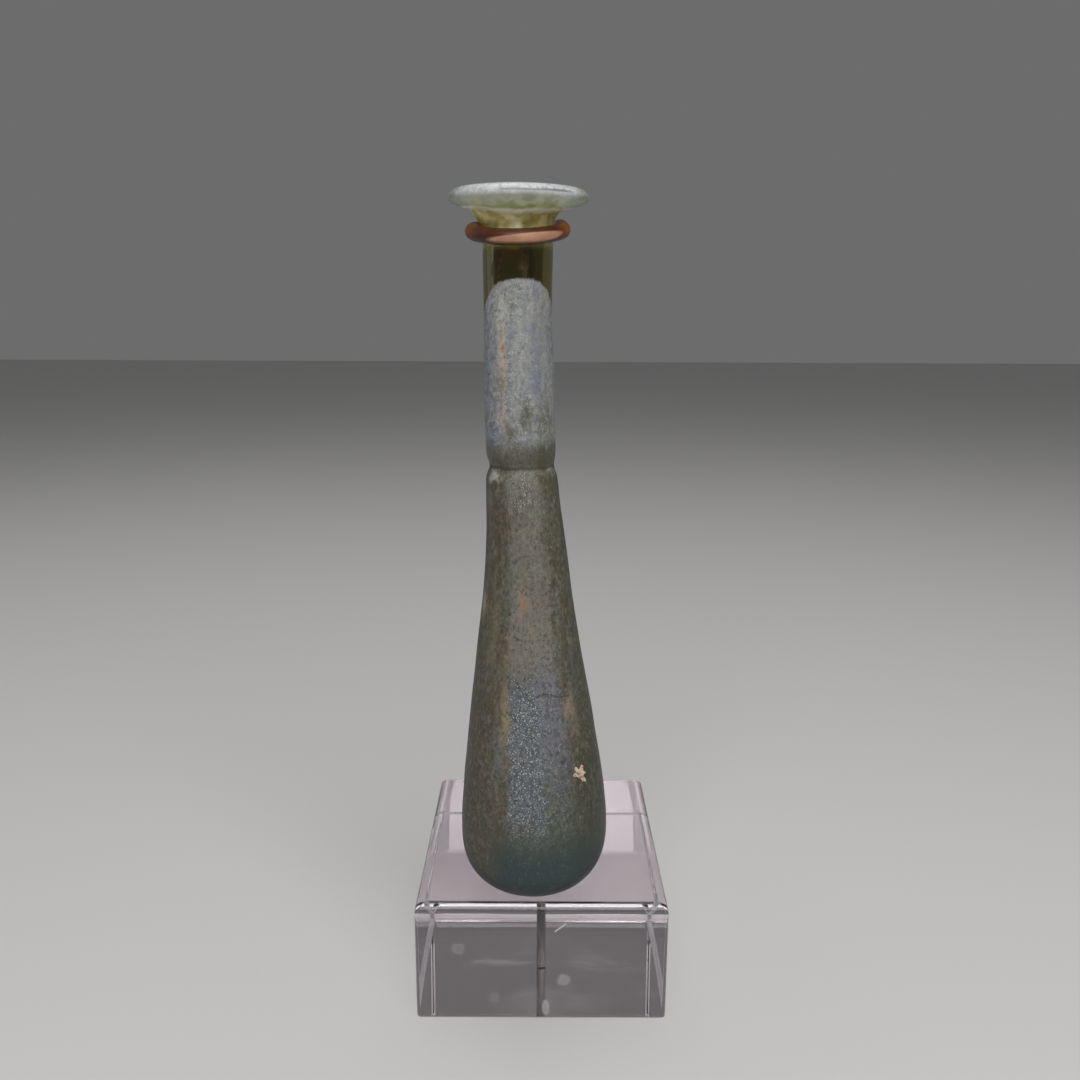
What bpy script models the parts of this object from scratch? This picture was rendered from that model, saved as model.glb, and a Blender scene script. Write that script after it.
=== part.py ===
"""Glass perfume flask with a folded rim, held by a rubber ring on a rod that stands in a clear block.

Metres, +Z up. The origin is the middle of the block's underside, and the front is at -Y.
"""

import math

import bmesh
import bpy
from mathutils import Vector

# Clearance between pieces that touch
GAP = 0.0003

# Clear block
BLOCK_WIDTH = 0.050
BLOCK_DEPTH = 0.055
BLOCK_HEIGHT = 0.0255
BLOCK_TOP_ROUND = 0.0020
BLOCK_FOOT_ROUND = 0.0006
BLOCK_CORNER_ROUND = 0.0008
BLOCK_TOP_STEPS = 5
BLOCK_CORNER_STEPS = 3

# Rod and the blind hole that it stands in
ROD_RADIUS = 0.0008
ROD_HOLE_FLOOR = 0.0015
ROD_HOLE_SPARE_DEPTH = 0.0032
ROD_ABOVE_RING = 0.0017
ROD_BODY_CLEARANCE = 0.0029
ROD_SIDES = 20
ROD_DOME_STEPS = 3

# Flask: heights are measured up from the lowest point of its base
FLASK_HEIGHT = 0.1334
BODY_RADIUS = 0.01448
BELLY_HEIGHT = 0.0132
BASE_SQUARENESS = 2.7
NECK_RADIUS = 0.00622
BODY_WALL = 0.0013
NECK_WALL = 0.0017
BASE_WALL = 0.0020
CREASE_HEIGHT = 0.0852
CREASE_HALF_WIDTH = 0.0015
CREASE_DEPTH = 0.00058
CREASE_UNEVENNESS = 0.22
FLARE_DROP = 0.0034
FLARE_RADIUS = 0.0093
FLARE_POWER_LEAST = 0.9
FLARE_POWER_MOST = 4.2
FLARE_TIGHTEST_TURN = math.radians(50.0)
RIM_RADIUS = 0.01239
RIM_THICKNESS = 0.0026
RIM_ROLL_WIDTH = 0.0038
RIM_WAVE = 0.00008
RIM_TURN_FROM = math.radians(-62.0)
RIM_TURN_TO = math.radians(112.0)
MOUTH_DEPTH = 0.0075
MOUTH_CURVE = 2.0
NECK_OFFSET = -0.00475
BODY_LEAN = 0.0032
FLASK_SIDES = 32
BASE_STEPS = 8
BODY_STEPS = 13
NECK_STEPS = 6
FLARE_STEPS = 4
RIM_STEPS = 8
MOUTH_STEPS = 4

# Body outline: share of the flask's height, and share of the way from the neck's radius to the body's
BODY_OUTLINE = (
    (0.0989, 1.000),
    (0.1657, 0.922),
    (0.2612, 0.722),
    (0.3717, 0.462),
    (0.4671, 0.252),
    (0.5475, 0.128),
    (0.6228, 0.052),
    (0.6630, 0.026),
    (0.7534, 0.024),
    (0.8388, -0.014),
    (0.9241, 0.003),
    (1.0000, 0.003),
)

# Centre line: share of the flask's height, and share of the sideways lean of the body from the neck
CENTRE_LINE = (
    (0.00, 0.94),
    (0.10, 1.00),
    (0.26, 0.83),
    (0.38, 0.64),
    (0.50, 0.52),
    (0.64, 0.19),
    (0.76, 0.08),
    (0.88, 0.00),
    (1.00, 0.05),
)

# Rubber ring
RING_SECTION_RADIUS = 0.00138
RING_BELOW_RIM = 0.0058
RING_TILT = math.radians(11.0)
RING_ROLL = math.radians(1.0)
RING_ARC_STEPS = 22
RING_END_STEPS = 8
RING_STRAND_STEPS = 8
RING_SECTION_SIDES = 12

FLASK_FOOT = BLOCK_HEIGHT + GAP
FLASK_Y = -(BODY_RADIUS + ROD_BODY_CLEARANCE + ROD_RADIUS)
RIM_UNDERSIDE = FLASK_HEIGHT - RIM_THICKNESS
FLARE_START = RIM_UNDERSIDE - FLARE_DROP


def clear_scene():
    """Remove every object of the open scene."""
    for item in list(bpy.data.objects):
        bpy.data.objects.remove(item, do_unlink=True)


def material(name, colour, roughness, metallic=0.0, alpha=1.0):
    """One Principled material."""
    made = bpy.data.materials.new(name)
    made.use_nodes = True
    shader = made.node_tree.nodes["Principled BSDF"]
    shader.inputs["Base Color"].default_value = (*colour, 1.0)
    shader.inputs["Roughness"].default_value = roughness
    shader.inputs["Metallic"].default_value = metallic
    shader.inputs["Alpha"].default_value = alpha
    return made


def node(name, mesh, finish):
    """One named object of the part."""
    made = bpy.data.objects.new(name, mesh)
    made.data.materials.append(finish)
    bpy.context.scene.collection.objects.link(made)
    return made


def skin(name, rows, start_pole=None, end_pole=None, closed=False):
    """Mesh through rows of points: a pole closes an end to a point, and closed joins the last row to the first."""
    shape = bmesh.new()
    rings = [[shape.verts.new(point) for point in row] for row in rows]
    pairs = list(zip(rings, rings[1:]))
    if closed:
        pairs.append((rings[-1], rings[0]))
    for lower, upper in pairs:
        for k in range(len(lower)):
            following = (k + 1) % len(lower)
            shape.faces.new((lower[k], lower[following], upper[following], upper[k]))
    for pole, ring in ((start_pole, rings[0]), (end_pole, rings[-1])):
        if pole is None:
            continue
        tip = shape.verts.new(pole)
        for k in range(len(ring)):
            shape.faces.new((tip, ring[(k + 1) % len(ring)], ring[k]))
    bmesh.ops.recalc_face_normals(shape, faces=shape.faces[:])
    mesh = bpy.data.meshes.new(name)
    shape.to_mesh(mesh)
    shape.free()
    mesh.shade_smooth()
    mesh.set_sharp_from_angle(angle=math.radians(40.0))
    return mesh


def along(knots, share):
    """Value of a smooth curve through the knots at a share, with no overshoot between them."""
    if share <= knots[0][0]:
        return knots[0][1]
    if share >= knots[-1][0]:
        return knots[-1][1]
    k = max(i for i in range(len(knots) - 1) if knots[i][0] <= share)
    step = knots[k + 1][0] - knots[k][0]
    rise = knots[k + 1][1] - knots[k][1]
    slopes = []
    for i in (k, k + 1):
        if i in (0, len(knots) - 1):
            slopes.append(0.0)
            continue
        before = (knots[i][1] - knots[i - 1][1]) / (knots[i][0] - knots[i - 1][0])
        after = (knots[i + 1][1] - knots[i][1]) / (knots[i + 1][0] - knots[i][0])
        slopes.append(2.0 * before * after / (before + after) if before * after > 0.0 else 0.0)
    t = (share - knots[k][0]) / step
    bend = (1.0 - t) * slopes[0] * step - t * slopes[1] * step + (2.0 * t - 1.0) * rise
    return knots[k][1] + t * rise + t * (1.0 - t) * bend


def centre_x(height):
    """Sideways place of the flask's centre line."""
    return NECK_OFFSET + BODY_LEAN * along(CENTRE_LINE, height / FLASK_HEIGHT)


def wall_radius(height):
    """Outer radius of the body and neck, without the crease."""
    return NECK_RADIUS + (BODY_RADIUS - NECK_RADIUS) * along(BODY_OUTLINE, height / FLASK_HEIGHT)


def crease(height, angle):
    """How far the tooled crease goes in, a little deeper on the left."""
    reach = (height - CREASE_HEIGHT) / CREASE_HALF_WIDTH
    return CREASE_DEPTH * (1.0 - CREASE_UNEVENNESS * math.cos(angle)) * math.exp(-reach * reach)


def flare(height, angle):
    """How far the neck widens under the rim: a cone at the front left, a tight curve at the back right."""
    share = (height - FLARE_START) / FLARE_DROP
    if share <= 0.0:
        return 0.0
    tightness = 0.5 + 0.5 * math.cos(angle - FLARE_TIGHTEST_TURN)
    power = FLARE_POWER_LEAST + (FLARE_POWER_MOST - FLARE_POWER_LEAST) * tightness
    return (FLARE_RADIUS - NECK_RADIUS) * share**power


def flask_row(height, radius_at):
    """One level ring of points round the flask's centre line."""
    row = []
    for k in range(FLASK_SIDES):
        angle = 2.0 * math.pi * k / FLASK_SIDES
        radius = radius_at(angle)
        x = centre_x(height) + radius * math.cos(angle)
        row.append(Vector((x, FLASK_Y + radius * math.sin(angle), FLASK_FOOT + height)))
    return row


def base_rows(radius, low):
    """Rings of the rounded base, from just above its lowest point up to its widest."""
    power = 2.0 / BASE_SQUARENESS
    rows = []
    for k in range(1, BASE_STEPS + 1):
        turn = 0.5 * math.pi * k / BASE_STEPS
        ring_radius = radius * math.sin(turn) ** power
        height = BELLY_HEIGHT - (BELLY_HEIGHT - low) * max(math.cos(turn), 0.0) ** power
        rows.append(flask_row(height, lambda angle, r=ring_radius: r))
    return rows


def spread(low, high, steps):
    """Even heights above low, up to high."""
    return [low + (high - low) * k / steps for k in range(1, steps + 1)]


def wall_heights(neck_top):
    """Heights of the rings between the belly and the neck's top, close together at the crease."""
    below = CREASE_HEIGHT - 3.0 * CREASE_HALF_WIDTH
    above = CREASE_HEIGHT + 3.0 * CREASE_HALF_WIDTH
    heights = spread(BELLY_HEIGHT, below, BODY_STEPS)
    heights += [CREASE_HEIGHT + CREASE_HALF_WIDTH * k for k in (-1.7, -0.9, 0.0, 0.9, 1.7)]
    heights += [above] + spread(above, neck_top, NECK_STEPS)
    return heights


def outer_rows():
    """Rings of the flask's outside, from the base up to the rim's underside."""
    rows = base_rows(BODY_RADIUS, 0.0)
    for height in wall_heights(FLARE_START) + spread(FLARE_START, RIM_UNDERSIDE, FLARE_STEPS):
        rows.append(
            flask_row(
                height,
                lambda angle, z=height: wall_radius(z) - crease(z, angle) + flare(z, angle),
            )
        )
    return rows


def rim_point(turn):
    """Radius and height on the rim's oval section: 0 is its outer edge and a quarter turn its top."""
    radius = RIM_RADIUS - 0.5 * RIM_ROLL_WIDTH * (1.0 - math.cos(turn))
    return radius, RIM_UNDERSIDE + 0.5 * RIM_THICKNESS * (1.0 + math.sin(turn))


def rim_rows():
    """Rings over the folded rim: out from under it, round its edge and over to the mouth's lip."""
    rows = []
    for k in range(RIM_STEPS):
        turn = RIM_TURN_FROM + (RIM_TURN_TO - RIM_TURN_FROM) * k / (RIM_STEPS - 1)
        radius, height = rim_point(turn)
        rows.append(flask_row(height, lambda angle, r=radius: r + RIM_WAVE * math.cos(3.0 * angle)))
    return rows


def inner_rows():
    """Rings of the hollow, from the mouth down to its floor."""
    lip, lip_height = rim_point(RIM_TURN_TO)
    bore = NECK_RADIUS - NECK_WALL
    neck_top = lip_height - MOUTH_DEPTH
    rows = []
    for k in range(1, MOUTH_STEPS + 1):
        share = k / MOUTH_STEPS
        radius = bore + (lip - bore) * (1.0 - share) ** MOUTH_CURVE
        rows.append(flask_row(lip_height - MOUTH_DEPTH * share, lambda angle, r=radius: r))
    for height in reversed(wall_heights(neck_top)[:-1]):
        share = min((height - BELLY_HEIGHT) / (CREASE_HEIGHT - BELLY_HEIGHT), 1.0)
        thickness = BODY_WALL + (NECK_WALL - BODY_WALL) * share
        rows.append(
            flask_row(height, lambda angle, z=height, t=thickness: wall_radius(z) - crease(z, angle) - t)
        )
    rows += reversed(base_rows(BODY_RADIUS - BODY_WALL, BASE_WALL))
    return rows


def build_flask():
    """The hollow glass flask: outside, rim and inside in one skin."""
    start = Vector((centre_x(0.0), FLASK_Y, FLASK_FOOT))
    end = Vector((centre_x(BASE_WALL), FLASK_Y, FLASK_FOOT + BASE_WALL))
    mesh = skin("flask", outer_rows() + rim_rows() + inner_rows(), start, end)
    return node("flask", mesh, material("weathered_glass", (0.33, 0.34, 0.29), 0.35, alpha=0.9))


def ring_height(x, y):
    """Height of the ring's centre line: low in front, higher behind and on the right."""
    front_y = FLASK_Y - ring_neck_radius()
    low = FLASK_FOOT + RIM_UNDERSIDE - RING_BELOW_RIM
    return low + (y - front_y) * math.tan(RING_TILT) + (x - NECK_OFFSET) * math.tan(RING_ROLL)


def ring_neck_radius():
    """Radius of the ring's centre line round the neck."""
    return NECK_RADIUS + GAP + RING_SECTION_RADIUS


def ring_rod_radius():
    """Radius of the ring's centre line round the rod."""
    return ROD_RADIUS + GAP + RING_SECTION_RADIUS


def ring_path():
    """Closed centre line: round the neck's front, straight back on both sides and round the rod."""
    neck = Vector((NECK_OFFSET, FLASK_Y))
    rod = Vector((0.0, 0.0))
    neck_radius = ring_neck_radius()
    rod_radius = ring_rod_radius()
    across = rod - neck
    heading = math.atan2(across.y, across.x)
    lean = math.acos((neck_radius - rod_radius) / across.length)
    first = heading + lean
    last = heading + 2.0 * math.pi - lean
    points = []
    for k in range(RING_ARC_STEPS + 1):
        turn = first + (last - first) * k / RING_ARC_STEPS
        points.append(neck + neck_radius * Vector((math.cos(turn), math.sin(turn))))
    back_start = rod + rod_radius * Vector((math.cos(last), math.sin(last)))
    points += [points[-1].lerp(back_start, k / RING_STRAND_STEPS) for k in range(1, RING_STRAND_STEPS)]
    for k in range(RING_END_STEPS + 1):
        turn = heading - lean + 2.0 * lean * k / RING_END_STEPS
        points.append(rod + rod_radius * Vector((math.cos(turn), math.sin(turn))))
    points += [points[-1].lerp(points[0], k / RING_STRAND_STEPS) for k in range(1, RING_STRAND_STEPS)]
    return [Vector((point.x, point.y, ring_height(point.x, point.y))) for point in points]


def build_ring():
    """The rubber ring: a round section carried along its closed path."""
    path = ring_path()
    rows = []
    for k, point in enumerate(path):
        ahead = (path[(k + 1) % len(path)] - path[k - 1]).normalized()
        side = ahead.cross(Vector((0.0, 0.0, 1.0))).normalized()
        over = side.cross(ahead)
        row = []
        for n in range(RING_SECTION_SIDES):
            turn = 2.0 * math.pi * n / RING_SECTION_SIDES
            row.append(point + RING_SECTION_RADIUS * (math.cos(turn) * side + math.sin(turn) * over))
        rows.append(row)
    mesh = skin("neck_ring", rows, closed=True)
    return node("neck_ring", mesh, material("brown_rubber", (0.22, 0.07, 0.025), 0.32))


def circle(radius, height):
    """A level circle of points round the rod's axis."""
    turns = [2.0 * math.pi * k / ROD_SIDES for k in range(ROD_SIDES)]
    return [Vector((radius * math.cos(turn), radius * math.sin(turn), height)) for turn in turns]


def build_rod():
    """The upright rod, with a domed top."""
    foot = ROD_HOLE_FLOOR + ROD_HOLE_SPARE_DEPTH
    top = ring_height(0.0, 0.0) + ROD_ABOVE_RING
    rows = [circle(ROD_RADIUS, foot)]
    for k in range(ROD_DOME_STEPS):
        turn = 0.5 * math.pi * k / ROD_DOME_STEPS
        rows.append(circle(ROD_RADIUS * math.cos(turn), top - ROD_RADIUS * (1.0 - math.sin(turn))))
    mesh = skin("support_rod", rows, Vector((0.0, 0.0, foot)), Vector((0.0, 0.0, top)))
    return node("support_rod", mesh, material("steel", (0.5, 0.49, 0.47), 0.3, metallic=1.0))


def block_row(inset, height):
    """One level outline of the block, its upright edges rounded."""
    middle_x = 0.5 * BLOCK_WIDTH - inset - BLOCK_CORNER_ROUND
    middle_y = 0.5 * BLOCK_DEPTH - inset - BLOCK_CORNER_ROUND
    row = []
    for corner, (sign_x, sign_y) in enumerate(((1.0, 1.0), (-1.0, 1.0), (-1.0, -1.0), (1.0, -1.0))):
        for k in range(BLOCK_CORNER_STEPS + 1):
            turn = 0.5 * math.pi * (corner + k / BLOCK_CORNER_STEPS)
            x = sign_x * middle_x + BLOCK_CORNER_ROUND * math.cos(turn)
            y = sign_y * middle_y + BLOCK_CORNER_ROUND * math.sin(turn)
            row.append(Vector((x, y, height)))
    return row


def build_block():
    """The clear block, with rounded top edges and a blind hole for the rod."""
    rows = [block_row(BLOCK_FOOT_ROUND, 0.0), block_row(0.0, BLOCK_FOOT_ROUND)]
    for k in range(BLOCK_TOP_STEPS + 1):
        turn = 0.5 * math.pi * k / BLOCK_TOP_STEPS
        inset = BLOCK_TOP_ROUND * (1.0 - math.cos(turn))
        rows.append(block_row(inset, BLOCK_HEIGHT - BLOCK_TOP_ROUND * (1.0 - math.sin(turn))))
    mesh = skin("stand_block", rows, Vector((0.0, 0.0, 0.0)), Vector((0.0, 0.0, BLOCK_HEIGHT)))
    block = node("stand_block", mesh, material("clear_plastic", (0.80, 0.81, 0.82), 0.08, alpha=0.4))

    above = BLOCK_HEIGHT + BLOCK_TOP_ROUND
    hole = [circle(ROD_RADIUS + GAP, ROD_HOLE_FLOOR), circle(ROD_RADIUS + GAP, above)]
    hole_mesh = skin("rod_hole", hole, Vector((0.0, 0.0, ROD_HOLE_FLOOR)), Vector((0.0, 0.0, above)))
    cutter = bpy.data.objects.new("rod_hole", hole_mesh)
    cutter.hide_render = True
    cutter.display_type = "WIRE"
    bpy.context.scene.collection.objects.link(cutter)
    cut = block.modifiers.new("rod_hole", "BOOLEAN")
    cut.operation = "DIFFERENCE"
    cut.solver = "EXACT"
    cut.object = cutter
    return block


clear_scene()
build_flask()
build_ring()
build_rod()
build_block()
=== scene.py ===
"""Weathered glass perfume flask, held by a rubber ring on a rod that stands in a clear block.

The pieces are dressed from the foot up: block, rod, ring, flask, the lump of crust on it, then the studio.
Metres, +Z up, front at -Y, the same frame as the solids. Colours are written as screen values, 0 to 255.
"""
import math

import bpy
import numpy as np
from mathutils import Euler, Matrix, Vector


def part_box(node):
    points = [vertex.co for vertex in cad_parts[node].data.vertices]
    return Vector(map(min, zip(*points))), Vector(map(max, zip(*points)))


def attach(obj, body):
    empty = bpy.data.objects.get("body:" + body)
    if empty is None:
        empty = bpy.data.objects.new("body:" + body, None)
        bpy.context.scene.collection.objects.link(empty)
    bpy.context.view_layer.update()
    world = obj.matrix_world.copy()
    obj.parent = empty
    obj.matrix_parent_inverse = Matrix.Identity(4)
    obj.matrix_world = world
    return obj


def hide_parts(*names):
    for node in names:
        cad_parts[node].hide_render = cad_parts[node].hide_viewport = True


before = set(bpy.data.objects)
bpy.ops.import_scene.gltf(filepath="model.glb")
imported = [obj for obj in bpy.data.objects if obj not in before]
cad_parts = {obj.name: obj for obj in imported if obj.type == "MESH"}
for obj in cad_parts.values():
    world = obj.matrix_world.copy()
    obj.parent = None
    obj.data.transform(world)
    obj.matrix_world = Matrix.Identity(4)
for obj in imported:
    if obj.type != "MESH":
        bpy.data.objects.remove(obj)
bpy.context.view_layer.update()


# Clear block
# A cast block of clear plastic, sawn, rounded along its top edges and polished. It has a blind hole for
# the rod, and years of handling have left fine scratches and a few round marks in it.

BLOCK_TOP_ROUND = 0.0020
BLOCK_FOOT_ROUND = 0.0006
BLOCK_CORNER_ROUND = 0.0008
BLOCK_HOLE_RADIUS = 0.00095
BLOCK_HOLE_FLOOR = 0.0003
BLOCK_HOLE_LIP = 0.00015
BLOCK_SEAM = 0.00005
BLOCK_IOR = 1.49
BLOCK_HOLE_ROWS = (0.0, 0.0001, 0.004, 0.012, 0.020)
BLOCK_FRONT_MASK = (-0.0266, -0.0274)
# Round marks on the front face: across, up, radius and strength
BLOCK_MARKS = ((-0.0165, 0.0158, 0.0015, 0.55), (0.0045, 0.0089, 0.0015, 1.0), (-0.0094, 0.0048, 0.0014, 0.4))


def skin(name, rows, loop=False, first_inside=None):
    """One closed surface through rows of points, shape (rows, points round, 3).

    Each row is joined to the next by a band of four-sided faces. Unless the rows form a loop, the first and
    last rows close to their middle point with a fan. The faces are turned outwards by the sign of the volume.
    The UV map holds the share of a turn from the back seam less a half, and the row's height in decimetres.
    Faces from the row first_inside on take the second material.
    """
    count, around = rows.shape[:2]
    height = rows[:, :, 2].mean(1) * 10.0
    lower = np.arange(count if loop else count - 1)[:, None]
    column = np.arange(around)[None, :]
    upper = (lower + 1) % count
    beside = (column + 1) % around
    turn = column / around - 0.5 + 0.0 * lower
    next_turn = turn + 1.0 / around
    under_row, upper_row = lower * around, upper * around
    corners = (under_row + column, under_row + beside, upper_row + beside, upper_row + column)
    faces = np.stack(corners, -1).reshape(-1, 4)
    across = np.stack((turn, next_turn, next_turn, turn), -1).reshape(-1, 4)
    low_height = height[lower] + 0.0 * turn
    high_height = height[upper] + 0.0 * turn
    along = np.stack((low_height, low_height, high_height, high_height), -1).reshape(-1, 4)
    points = rows.reshape(-1, 3)
    fans = np.zeros((0, 3), int)
    if not loop:
        points = np.vstack((points, rows[0].mean(0), rows[-1].mean(0)))
        here = np.arange(around)
        there = (here + 1) % around
        last = (count - 1) * around
        start = np.stack((np.full(around, count * around), there, here), -1)
        end = np.stack((np.full(around, count * around + 1), last + here, last + there), -1)
        fans = np.vstack((start, end))
    a, b, c, d = (points[faces[:, k]] for k in range(4))
    volume = np.einsum("ij,ij->", a, np.cross(b, c)) + np.einsum("ij,ij->", a, np.cross(c, d))
    if volume < 0.0:
        faces, fans = faces[:, ::-1], fans[:, ::-1]
        across, along = across[:, ::-1], along[:, ::-1]
    mesh = bpy.data.meshes.new(name)
    mesh.from_pydata(points.tolist(), [], faces.tolist() + fans.tolist())
    uv = np.zeros((len(mesh.loops), 2))
    uv[: across.size, 0] = across.ravel()
    uv[: along.size, 1] = along.ravel()
    if not loop:
        uv[along.size : along.size + 3 * around, 1] = height[0]
        uv[along.size + 3 * around :, 1] = height[-1]
    mesh.uv_layers.new(name="around").data.foreach_set("uv", uv.ravel())
    if first_inside is not None:
        inside = np.zeros(len(mesh.polygons), int)
        inside[first_inside * around :] = 1
        inside[len(faces) : len(faces) + around] = 0
        mesh.polygons.foreach_set("material_index", inside)
    mesh.shade_smooth()
    piece = bpy.data.objects.new(name, mesh)
    bpy.context.scene.collection.objects.link(piece)
    return piece


class Socket:
    """One output of a shader node. Arithmetic on it adds Math nodes, and add() makes every other node."""

    def __init__(self, tree, source=None):
        self.tree = tree
        self.source = source

    def add(self, kind, settings=None, pick=0, **links):
        """Make a node, with its settings first. A link names a socket by its name, or by _ and its number."""
        made = self.tree.nodes.new(kind)
        for name, value in (settings or {}).items():
            setattr(made, name, value)
        for name, value in links.items():
            target = made.inputs[int(name[1:])] if name[0] == "_" else made.inputs[name.replace("_", " ")]
            if isinstance(value, Socket):
                self.tree.links.new(value.source, target)
            else:
                target.default_value = value
        return Socket(self.tree, made.outputs[pick] if len(made.outputs) else None)

    def math(self, operation, other=0.0):
        return self.add("ShaderNodeMath", {"operation": operation}, _0=self, _1=other)

    def __add__(self, other):
        return self.math("ADD", other)

    __radd__ = __add__

    def __sub__(self, other):
        return self.math("SUBTRACT", other)

    def __rsub__(self, other):
        return self.add("ShaderNodeMath", {"operation": "SUBTRACT"}, _0=other, _1=self)

    def __mul__(self, other):
        return self.math("MULTIPLY", other)

    __rmul__ = __mul__

    def __truediv__(self, other):
        return self.math("DIVIDE", other)

    def __pow__(self, other):
        return self.math("POWER", other)

    def most(self, other):
        """The larger of the two."""
        return self.math("MAXIMUM", other)

    def least(self, other):
        """The smaller of the two."""
        return self.math("MINIMUM", other)

    def off(self, middle):
        """Distance from a value, never negative."""
        return (self - middle).math("ABSOLUTE")

    def square(self):
        """The value times itself."""
        return self * self

    def bell(self, middle, width):
        """A bell curve: 1 in its middle, and 37 percent of that one width away."""
        return (((self - middle) / width).square() * -1.0).math("EXPONENT")

    def rise(self, low, high):
        """A smooth step: 0 below low, 1 above high. With low above high it falls instead."""
        settings = {"interpolation_type": "SMOOTHSTEP"}
        if low < high:
            return self.add("ShaderNodeMapRange", settings, Value=self, _1=low, _2=high)
        return self.add("ShaderNodeMapRange", settings, Value=self, _1=high, _2=low, _3=1.0, _4=0.0)

    def split(self):
        """The three numbers of a vector."""
        made = self.add("ShaderNodeSeparateXYZ", Vector=self)
        return [Socket(self.tree, made.source.node.outputs[k]) for k in range(3)]

    def metres(self):
        """The object's own coordinates."""
        return self.add("ShaderNodeTexCoord", pick=3)

    def millimetres(self):
        """The object's own coordinates, a thousand times as large."""
        return self.add("ShaderNodeVectorMath", {"operation": "SCALE"}, _0=self.metres(), Scale=1000.0)

    def wrapped(self, foot):
        """Turn from the front in degrees, and height over a foot in millimetres, read from the UV map."""
        around, up = self.add("ShaderNodeUVMap", {"uv_map": "around"}).split()[:2]
        return around * 360.0, up * 100.0 - foot * 1000.0

    def noise(self, scale, detail=3.0, roughness=0.55, stretch=(1.0, 1.0, 1.0)):
        """Cloudy noise about 0.5 over this vector, with its scale given in cells a unit."""
        placed = self.add("ShaderNodeVectorMath", {"operation": "MULTIPLY"}, _0=self, _1=stretch)
        return self.add("ShaderNodeTexNoise", Vector=placed, Scale=scale, Detail=detail, Roughness=roughness)

    def cells(self, scale):
        """Distance to the nearest of many scattered points, in cells."""
        return self.add("ShaderNodeTexVoronoi", Vector=self, Scale=scale)

    def lay(self, colour, under):
        """A colour laid over another where this mask is 1."""
        return self.add("ShaderNodeMix", {"data_type": "RGBA"}, pick=2, _0=self, _6=under, _7=colour)

    def lit_through(self):
        """This clear shader, with lamps let through it, so that what stands behind and under it is lit."""
        shadow = self.add("ShaderNodeLightPath", pick=1)
        open_air = self.add("ShaderNodeBsdfTransparent", Color=(0.86, 0.86, 0.86, 1.0))
        return self.add("ShaderNodeMixShader", _0=shadow, _1=self, _2=open_air)

    def bump(self, height, distance, strength):
        """A normal bent by a height, whose full step is the distance in metres."""
        return self.add("ShaderNodeBump", Height=height, Distance=distance, Strength=strength)

    def finish(self):
        """Send this shader to the material's output."""
        self.add("ShaderNodeOutputMaterial", Surface=self)


def screen(red, green, blue):
    """A colour given by its screen values, as the linear one that shaders take."""
    shares = (value / 255.0 for value in (red, green, blue))
    linear = [s / 12.92 if s <= 0.04045 else ((s + 0.055) / 1.055) ** 2.4 for s in shares]
    return (*linear, 1.0)


def new_material(name):
    """An empty material, and the first link of its node tree."""
    made = bpy.data.materials.new(name)
    made.use_nodes = True
    made.node_tree.nodes.clear()
    return made, Socket(made.node_tree)


def block_rows():
    """Rows from the hole's floor up its wall, over the top face, round the edges, down and under.

    The outline is a rectangle with round corners, made of straight sides and quarter circles, and drawn in
    by an inset along the top and foot rounds, which are quarter circles too. The hole's rows are circles
    whose points lie in the same directions, and the rows between them mix the two in a plane.
    """
    low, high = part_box("stand_block")
    half = np.array((high.x, high.y))
    top = high.z
    corners = []
    for quarter in range(4):
        sign = np.array(((1, 1), (-1, 1), (-1, -1), (1, -1))[quarter])
        turn = 0.5 * np.pi * (quarter + np.linspace(0.0, 1.0, 9))
        ends = sign * (half - BLOCK_CORNER_ROUND)
        corners.append(ends + BLOCK_CORNER_ROUND * np.stack((np.cos(turn), np.sin(turn)), 1))
    outline = []
    for quarter in range(4):
        step = np.linspace(0.0, 1.0, 13)[1:-1, None]
        following = corners[(quarter + 1) % 4][0]
        outline += [corners[quarter], corners[quarter][-1] * (1.0 - step) + following * step]
    outline = np.vstack(outline)
    away = outline / np.linalg.norm(outline, axis=1, keepdims=True)
    sides = np.sign(outline) * (np.abs(outline) > half - BLOCK_CORNER_ROUND - 1e-9)

    def level(points, height):
        return np.column_stack((points, np.full(len(points), height)))

    rows = [level(0.5 * BLOCK_HOLE_RADIUS * away, BLOCK_HOLE_FLOOR)]
    for height in BLOCK_HOLE_ROWS:
        rows.append(level(BLOCK_HOLE_RADIUS * away, BLOCK_HOLE_FLOOR + height))
    for turn in np.linspace(0.0, 0.5 * np.pi, 5):
        radius = BLOCK_HOLE_RADIUS + BLOCK_HOLE_LIP * (1.0 - np.cos(turn))
        rows.append(level(radius * away, top - BLOCK_HOLE_LIP * (1.0 - np.sin(turn))))
    flat = outline - sides * (BLOCK_TOP_ROUND + BLOCK_SEAM)
    for share in (0.02, 0.3, 0.7, 1.0):
        rows.append(level((1.0 - share) * radius * away + share * flat, top))
    for turn in np.linspace(0.5 * np.pi, 0.0, 15):
        inset = BLOCK_TOP_ROUND * (1.0 - np.cos(turn))
        rows.append(level(outline - sides * inset, top - BLOCK_TOP_ROUND * (1.0 - np.sin(turn))))
    for share in (0.01, 0.5, 0.99):
        rows.append(level(outline, (top - BLOCK_TOP_ROUND) * (1.0 - share) + BLOCK_FOOT_ROUND * share))
    for turn in np.linspace(0.0, 0.5 * np.pi, 7):
        inset = BLOCK_FOOT_ROUND * (1.0 - np.cos(turn))
        rows.append(level(outline - sides * inset, BLOCK_FOOT_ROUND * (1.0 - np.sin(turn))))
    under = outline - sides * (BLOCK_FOOT_ROUND + BLOCK_SEAM)
    rows += [level(under * share, 0.0) for share in (1.0, 0.5, 0.1)]
    return np.array(rows)


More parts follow.
